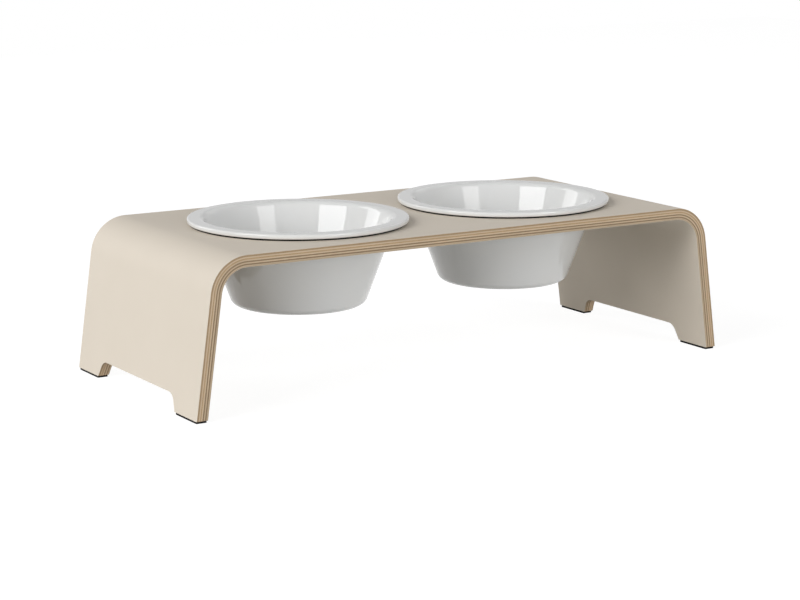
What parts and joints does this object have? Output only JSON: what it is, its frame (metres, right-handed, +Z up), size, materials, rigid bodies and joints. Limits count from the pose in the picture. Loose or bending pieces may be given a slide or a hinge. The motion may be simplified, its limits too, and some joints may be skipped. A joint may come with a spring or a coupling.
{
  "type": "dog feeding station",
  "caption": "Raised dog feeding station: a low bench bent from laminated plywood, with splayed legs and soft foot pads, carries lift-out porcelain bowls in round holes.",
  "frame": {"origin": "on the floor, under the middle of the bench", "axes": "+X along the bench to the right seen from the front, +Y from front to back, +Z up"},
  "size_m": [0.5682, 0.245, 0.1494],
  "materials": {
    "laminate": "matt laminate",
    "cross_veneer": "oiled end grain",
    "long_veneer": "oiled long grain",
    "porcelain": "gloss glaze",
    "ring_rubber": "soft matt",
    "pad_rubber": "soft matt"
  },
  "bodies": {
    "bench": {"top_laminate": "laminate", "veneer_1": "cross_veneer", "veneer_2": "long_veneer", "veneer_3": "cross_veneer", "veneer_4": "long_veneer", "veneer_5": "cross_veneer", "veneer_6": "long_veneer", "veneer_7": "cross_veneer", "veneer_8": "long_veneer", "under_laminate": "laminate", "left_damping_ring": "ring_rubber", "right_damping_ring": "ring_rubber", "front_left_foot_pad": "pad_rubber", "back_left_foot_pad": "pad_rubber", "front_right_foot_pad": "pad_rubber", "back_right_foot_pad": "pad_rubber"},
    "left_bowl": {"left_bowl": "porcelain"},
    "right_bowl": {"right_bowl": "porcelain"}
  },
  "joints": [
    {"name": "left_bowl_lift", "type": "slide", "parent": "bench", "child": "left_bowl", "axis": [0, 0, 1], "range_m": [0, 0.12]},
    {"name": "right_bowl_lift", "type": "slide", "parent": "bench", "child": "right_bowl", "axis": [0, 0, 1], "range_m": [0, 0.12]}
  ]
}
